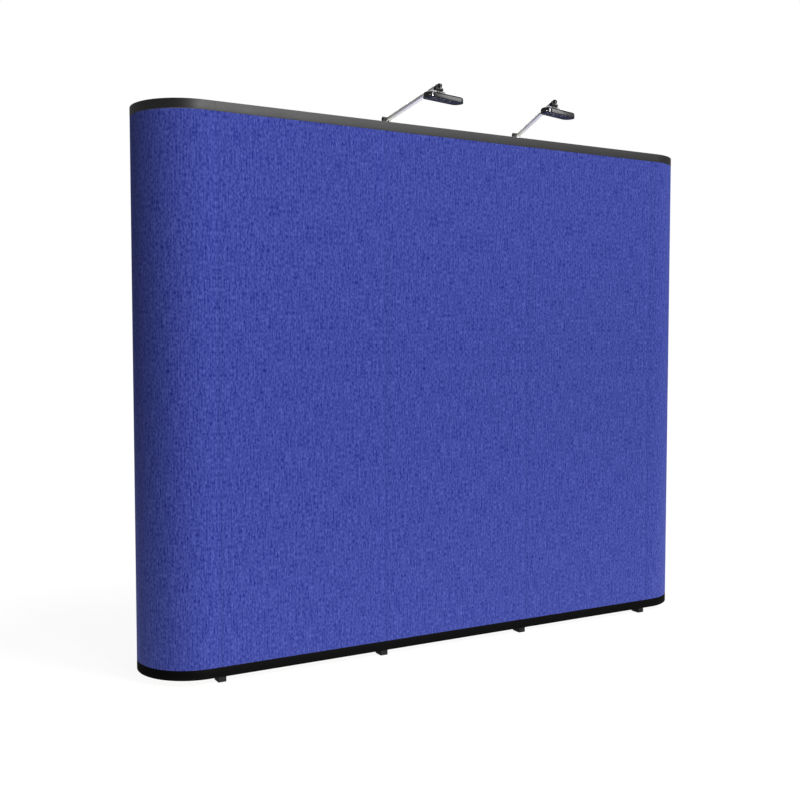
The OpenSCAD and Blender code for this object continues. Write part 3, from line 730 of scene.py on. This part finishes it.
class PARTITION_OT_covers(bpy.types.Operator):
    """Stretch the five cloth covers over their boards"""

    bl_idname = "partition_wall.covers"
    bl_label = "Cloth covers"

    def execute(self, context):
        cloth = context.scene.wall_cloth
        for panel in FRONT_PANELS:
            self.cover(panel, flat_run(f"{panel}_cover", cloth.overhang), cloth.edge)
        for panel in ENDS:
            self.cover(panel, end_run(f"{panel}_cover", cloth.columns, cloth.overhang), cloth.edge)
        return {"FINISHED"}

    def cover(self, panel, run, edge):
        """A closed sheet: a tall box with rolled ends carried along the run and drawn in at both ends, where
        the depth at a distance t from the end is the full one times 0.35 + 0.65 sqrt(1 - (1 - t / edge)^2)."""
        node = f"{panel}_cover"
        low, high = box_of(node)
        bottom, top = low[2], high[2]
        rolled = edge * (1 - np.cos(np.linspace(0, 90, 5) * math.pi / 180))
        length = run[2][-1]
        points, normals, along = refine(run, rolled, np.linspace(0, length, 25))
        outline = rounded_box(CLOTH_THICK, top - bottom, edge, 4)
        outline[:, 1] += (bottom + top) / 2
        from_end = np.minimum(np.minimum(along, length - along) / edge, 1.0)
        full = 0.35 + 0.65 * np.sqrt(np.clip(1 - (1 - from_end) ** 2, 0, 1))
        centre = points - normals * CLOTH_THICK / 2
        shaped = outline[None, :, :] * np.stack([full, np.ones_like(full)], -1)[:, None, :]
        grid = carry(shaped, centre, normals)
        uv = np.stack([along[:, None] + 0 * shaped[..., 1], shaped[..., 1] + 0 * along[:, None]], -1)
        made = Shape().tube(grid, uv=uv).piece(
            f"{panel}_cloth", BODY_OF[node], [FINISHES["blue_fabric"]], "blue_fabric", [node], 50, True,
        )


class PARTITION_OT_rails(bpy.types.Operator):
    """Run the head and sole rails round the wall"""

    bl_idname = "partition_wall.rails"
    bl_label = "Rails"

    def execute(self, context):
        corner = context.scene.wall_rails.corner
        low, high = box_of("front_head_rail")
        depth = high[1] - low[1]
        # The head rails take the satin coating and the sole rails take its shaded copy, which is painted shade.
        for level, finish in (("head", "dark_rail"), ("sole", "sole_rail")):
            for place in ("front", "rear", "left", "right"):
                node = f"{place}_{level}_rail"
                low, high = box_of(node)
                points, normals, _ = end_run(node, 96) if place in ("left", "right") else flat_run(node)
                outline = rounded_box(depth, high[2] - low[2], corner, 5)
                outline[:, 1] += (low[2] + high[2]) / 2
                grid = carry(np.repeat(outline[None], len(points), 0), points - normals * depth / 2, normals)
                Shape().tube(grid).piece(
                    f"{node}_section", BODY_OF[node], [FINISHES[finish]], "dark_rail", [node], 30,
                )
        return {"FINISHED"}


class PARTITION_OT_frame(bpy.types.Operator):
    """Soften the edges of posts, ties, feet, magnets and boards"""

    bl_idname = "partition_wall.frame"
    bl_label = "Frame and boards"

    def execute(self, context):
        width = context.scene.wall_frame.soften
        wide = {"feet": 2.0, "post_caps": 1.2, "magnet_strips": 0.5, "rail_studs": 0.6, "rail_splices": 0.6}
        for node in frame["nodes"]:
            if "post_" in node or node.endswith("_board") or node in (*wide, "cross_ties"):
                soften(node, width * wide.get(node, 1.0), 3 if node == "feet" else 2)
        return {"FINISHED"}


def head_place(lamp):
    """Origin and axes of a lamp head's own frame: X along the head, Z up, at the pan joint."""
    origin = np.array(JOINTS[f"{lamp}_head_pan"]["pos_m"])
    along = np.array(JOINTS[f"{lamp}_head_tilt"]["axis"])
    along = along / np.linalg.norm(along)
    return origin, np.stack([along, np.cross(UP, along), UP])


def placed(grid, lamp):
    """A grid in a lamp head's own frame, put into the wall's frame: point = origin + x X + y Y + z Z."""
    origin, axes = head_place(lamp)
    return grid @ axes + origin


class PARTITION_OT_lamps(bpy.types.Operator):
    """Shape the lamp heads and soften their fittings"""

    bl_idname = "partition_wall.lamps"
    bl_label = "Lamps"

    HALF, RADIUS, MIDDLE = 68 * MM, 28 * MM, 20 * MM
    TOP, BOTTOM, SHELL, ROUND = -34 * MM, -56 * MM, 2 * MM, 8 * MM
    BEZEL, BEZEL_THICK = 9 * MM, 0.4 * MM
    GLASS_INSET, HOLDER_TOP = 2.3 * MM, 3.3 * MM

    def execute(self, context):
        lamps = context.scene.wall_lamps
        for lamp in LAMPS:
            self.housing(lamp, lamps)
            self.reflector(lamp, lamps)
            self.glass(lamp, lamps)
            self.bulb(lamp)
            for part in ("clamp", "stem", "arm_tip", "pan_knuckle", "bracket"):
                soften(f"{lamp}_{part}", 0.5 * MM)
            for part in ("clamp_screw", "arm_knob", "head_knob", "cable_gland", "arm"):
                soften(f"{lamp}_{part}", 0.35 * MM)
        self.light_only_lamps(context.scene)
        return {"FINISHED"}

    def light_only_lamps(self, scene):
        """Keeps the low light from the right to the lamps, so that it leaves the cloth and the rails alone."""
        lit = bpy.data.collections.new("lamps")
        for made in scene.objects:
            if made.name.startswith(LAMPS):
                lit.objects.link(made)
        scene.objects["side"].light_linking.receiver_collection = lit

    def head(self, lamp, segments, *paths):
        """One surface of the head for each path, which comes with its number of finish."""
        shape = Shape()
        for path, finish in paths:
            grid = oblong(np.array(path), self.HALF, segments) + np.array([self.MIDDLE, 0, 0])
            shape.grid(placed(grid, lamp), wrap_cols=True, finish=finish)
        return shape

    def housing(self, lamp, lamps):
        """A closed shell: turned-in lip, grooved side, rounded shoulder and crown; the lining is set in by
        the wall's thickness and ends in a thin bezel."""
        r, top, low, wall, g = self.RADIUS, self.TOP, self.BOTTOM, self.SHELL, lamps.groove
        shoulder = arc((r - self.ROUND, top - self.ROUND), self.ROUND, 0, 90, 13)
        inside = arc((r - self.ROUND, top - self.ROUND), self.ROUND - wall, 90, 0, 9)
        lip = arc((r - 0.7 * MM, low + 0.7 * MM), 0.7 * MM, -90, 0, 5)
        groove = np.array([[r, 4.2 * MM], [r - g, 4.7 * MM], [r - g, 5.5 * MM], [r, 6.0 * MM]]) + [0, low]
        bezel, thin = r - self.BEZEL, low + self.BEZEL_THICK
        outside = np.concatenate([lip, groove, shoulder, [[0, top]]])
        lining = np.concatenate([
            [[0, top - wall]], inside, [[r - wall, thin], [bezel, thin], [bezel, low]], lip[:1],
        ])
        self.head(lamp, lamps.segments, (outside, 0), (lining, 1)).piece(
            f"{lamp}_head_shell", BODY_OF[f"{lamp}_housing"],
            [FINISHES["black_lamp_enamel"], FINISHES["lamp_inside"]], "black_lamp_enamel",
            [f"{lamp}_housing"], 30,
        )

    def reflector(self, lamp, lamps):
        """A trough 1 mm thick: flat rim, then a side that curves in towards a flat crown."""
        rim, mouth, crown = self.RADIUS - self.GLASS_INSET, self.RADIUS - 4.8 * MM, self.RADIUS - 10 * MM
        z, top = self.BOTTOM + 2.8 * MM, self.TOP - 2.3 * MM
        s = np.linspace(0, 1, 13)[:, None]
        belly = np.concatenate([mouth + (crown - mouth) * s ** 1.6, z + 1 * MM + (top - z - 1 * MM) * s], 1)
        inner = (belly - 1 * MM)[::-1]
        back = np.concatenate([[[rim, z], [rim, z + 1 * MM]], belly, [[0, top]]])
        bright = np.concatenate([[[0, top - 1 * MM]], inner[:-1], [[mouth - 1 * MM, z]], [[rim, z]]])
        self.head(lamp, lamps.segments, (back, 0), (bright, 0)).piece(
            f"{lamp}_trough", BODY_OF[f"{lamp}_reflector"], [FINISHES["reflector"]], "reflector",
            [f"{lamp}_reflector"], 35,
        )

    def glass(self, lamp, lamps):
        """A slab of glass with ground edges."""
        r, z, t, e = self.RADIUS - self.GLASS_INSET, self.BOTTOM + 0.5 * MM, 2 * MM, 0.4 * MM
        path = [[0, z], [r - e, z], [r, z + e], [r, z + t - e], [r - e, z + t], [0, z + t]]
        self.head(lamp, lamps.segments, (path, 0)).piece(
            f"{lamp}_front_glass", BODY_OF[f"{lamp}_glass"], [FINISHES["lamp_glass"]], "lamp_glass",
            [f"{lamp}_glass"], 30,
        )

    def bulb(self, lamp):
        """A tube pinched at both ends between two ceramic blocks: its radius is 5 mm times 0.28 + 0.72 times
        the root of the distance to the end, over the last 16 hundredths of each half."""
        low_z = self.TOP - self.HOLDER_TOP - 7 * MM
        s = np.linspace(-1, 1, 41)
        radius = 5 * MM * (0.28 + 0.72 * np.clip((1 - np.abs(s)) / 0.16, 0, 1) ** 0.5)
        rows = np.stack([s * 39.5 * MM, radius], -1)
        around = np.linspace(0, 2 * math.pi, 24, endpoint=False)
        tube = turn_about(rows, np.array([self.MIDDLE, 0, low_z]), around)
        shape = Shape().tube(placed(tube, lamp))
        for end in (-1, 1):
            block = rounded_box(8 * MM, 14 * MM, 1.2 * MM, 4)
            heights = np.array([-12, -11.2, -0.4, 0]) * MM
            draw = np.array([0.86, 1, 1, 0.96])[:, None, None]
            levels = np.concatenate([
                block[None] * draw + np.array([self.MIDDLE + end * 40.5 * MM, 0]),
                np.repeat(heights[:, None, None] + self.TOP - self.HOLDER_TOP, len(block), 1),
            ], -1)
            shape.tube(placed(levels, lamp), finish=1)
        shape.piece(
            f"{lamp}_halogen_tube", BODY_OF[f"{lamp}_bulb"], [FINISHES["bulb"], FINISHES["ceramic"]], "bulb",
            [f"{lamp}_bulb"], 40,
        )


class PARTITION_OT_studio(bpy.types.Operator):
    """Set the floor, the light and the camera"""

    bl_idname = "partition_wall.studio"
    bl_label = "Studio"

    def execute(self, context):
        studio, scene = context.scene.wall_studio, context.scene
        self.camera(scene)
        self.floor(scene, studio)
        self.light(scene, studio)
        return {"FINISHED"}

    def camera(self, scene):
        lens = bpy.data.cameras.new("view")
        lens.lens, lens.sensor_width, lens.clip_end = 46.116, 36.0, 100.0
        made = bpy.data.objects.new("view", lens)
        made.location = (-2.4065, -3.7972, 1.3197)
        made.rotation_euler = (math.radians(86.977), 0, math.radians(-29.182))
        scene.collection.objects.link(made)
        scene.camera = made

    def floor(self, scene, studio):
        """A wide flat disc of floor: point = reach (cos a, sin a)."""
        a = np.linspace(0, 2 * math.pi, 64, endpoint=False)
        ring = np.stack([FLOOR_REACH * np.cos(a), FLOOR_REACH * np.sin(a), 0 * a], -1)
        mesh = bpy.data.meshes.new("floor")
        mesh.from_pydata(ring, [], [list(range(len(ring)))])
        made = bpy.data.objects.new("floor", mesh)
        scene.collection.objects.link(made)
        finish = Finish("pale_floor", {}, Roughness=0.9, Specular_IOR_Level=0.0)
        finish.shader.inputs["Emission Color"].default_value = (1, 1, 1, 1)
        seen = finish.add("ShaderNodeLightPath").outputs["Is Camera Ray"]
        finish.feed(Emission_Strength=finish.math("MULTIPLY", seen, FLOOR_GLOW))
        slow = finish.noise(finish.where(), 0.6, 2.0, 0.5)
        shade = solid(tuple(studio.floor))
        finish.feed(Base_Color=finish.mix(slow, shade, solid(tuple(c * 0.985 for c in studio.floor))))
        mesh.materials.append(finish.material)

    def light(self, scene, studio):
        for name, spread, height, side, shadow in LIGHTS:
            sun = bpy.data.lights.new(name, "SUN")
            sun.energy, sun.angle, sun.use_shadow = getattr(studio, name), math.radians(spread), shadow
            made = bpy.data.objects.new(name, sun)
            made.rotation_euler = (math.radians(90 - height), 0, math.radians(side))
            scene.collection.objects.link(made)
        world = bpy.data.worlds.new("studio")
        scene.world = world
        world.use_nodes = True
        tree = Tree(world.node_tree)
        ground = next(n for n in world.node_tree.nodes if n.type == "BACKGROUND")
        seen = tree.add("ShaderNodeLightPath").outputs["Is Camera Ray"]
        world.node_tree.links.new(tree.spread(seen, 0, 1, studio.fill, 1.0), ground.inputs["Strength"])
        ground.inputs["Color"].default_value = (1, 1, 1, 1)
        scene.view_settings.view_transform = "Standard"


OPERATORS = (
    PARTITION_OT_studio,
    PARTITION_OT_finishes,
    PARTITION_OT_covers,
    PARTITION_OT_rails,
    PARTITION_OT_frame,
    PARTITION_OT_lamps,
)


class PARTITION_PT_wall(bpy.types.Panel):
    """Sizes, colours and steps of the wall"""

    bl_label = "Partition Wall"
    bl_idname = "PARTITION_PT_wall"
    bl_space_type = "VIEW_3D"
    bl_region_type = "UI"
    bl_category = "Partition Wall"

    def draw(self, context):
        for name, kind in GROUPS.items():
            box = self.layout.box()
            for setting in kind.__annotations__:
                box.prop(getattr(context.scene, name), setting)
        for step in OPERATORS:
            self.layout.operator(step.bl_idname)


CLASSES = (*GROUPS.values(), *OPERATORS, PARTITION_PT_wall)


def register():
    for kind in CLASSES:
        bpy.utils.register_class(kind)
    for name, kind in GROUPS.items():
        setattr(bpy.types.Scene, name, PointerProperty(type=kind))


def unregister():
    for name in GROUPS:
        delattr(bpy.types.Scene, name)
    for kind in reversed(CLASSES):
        bpy.utils.unregister_class(kind)


def main():
    register()
    for step in OPERATORS:
        getattr(bpy.ops.partition_wall, step.bl_idname.split(".")[1])()


if __name__ == "__main__":
    main()
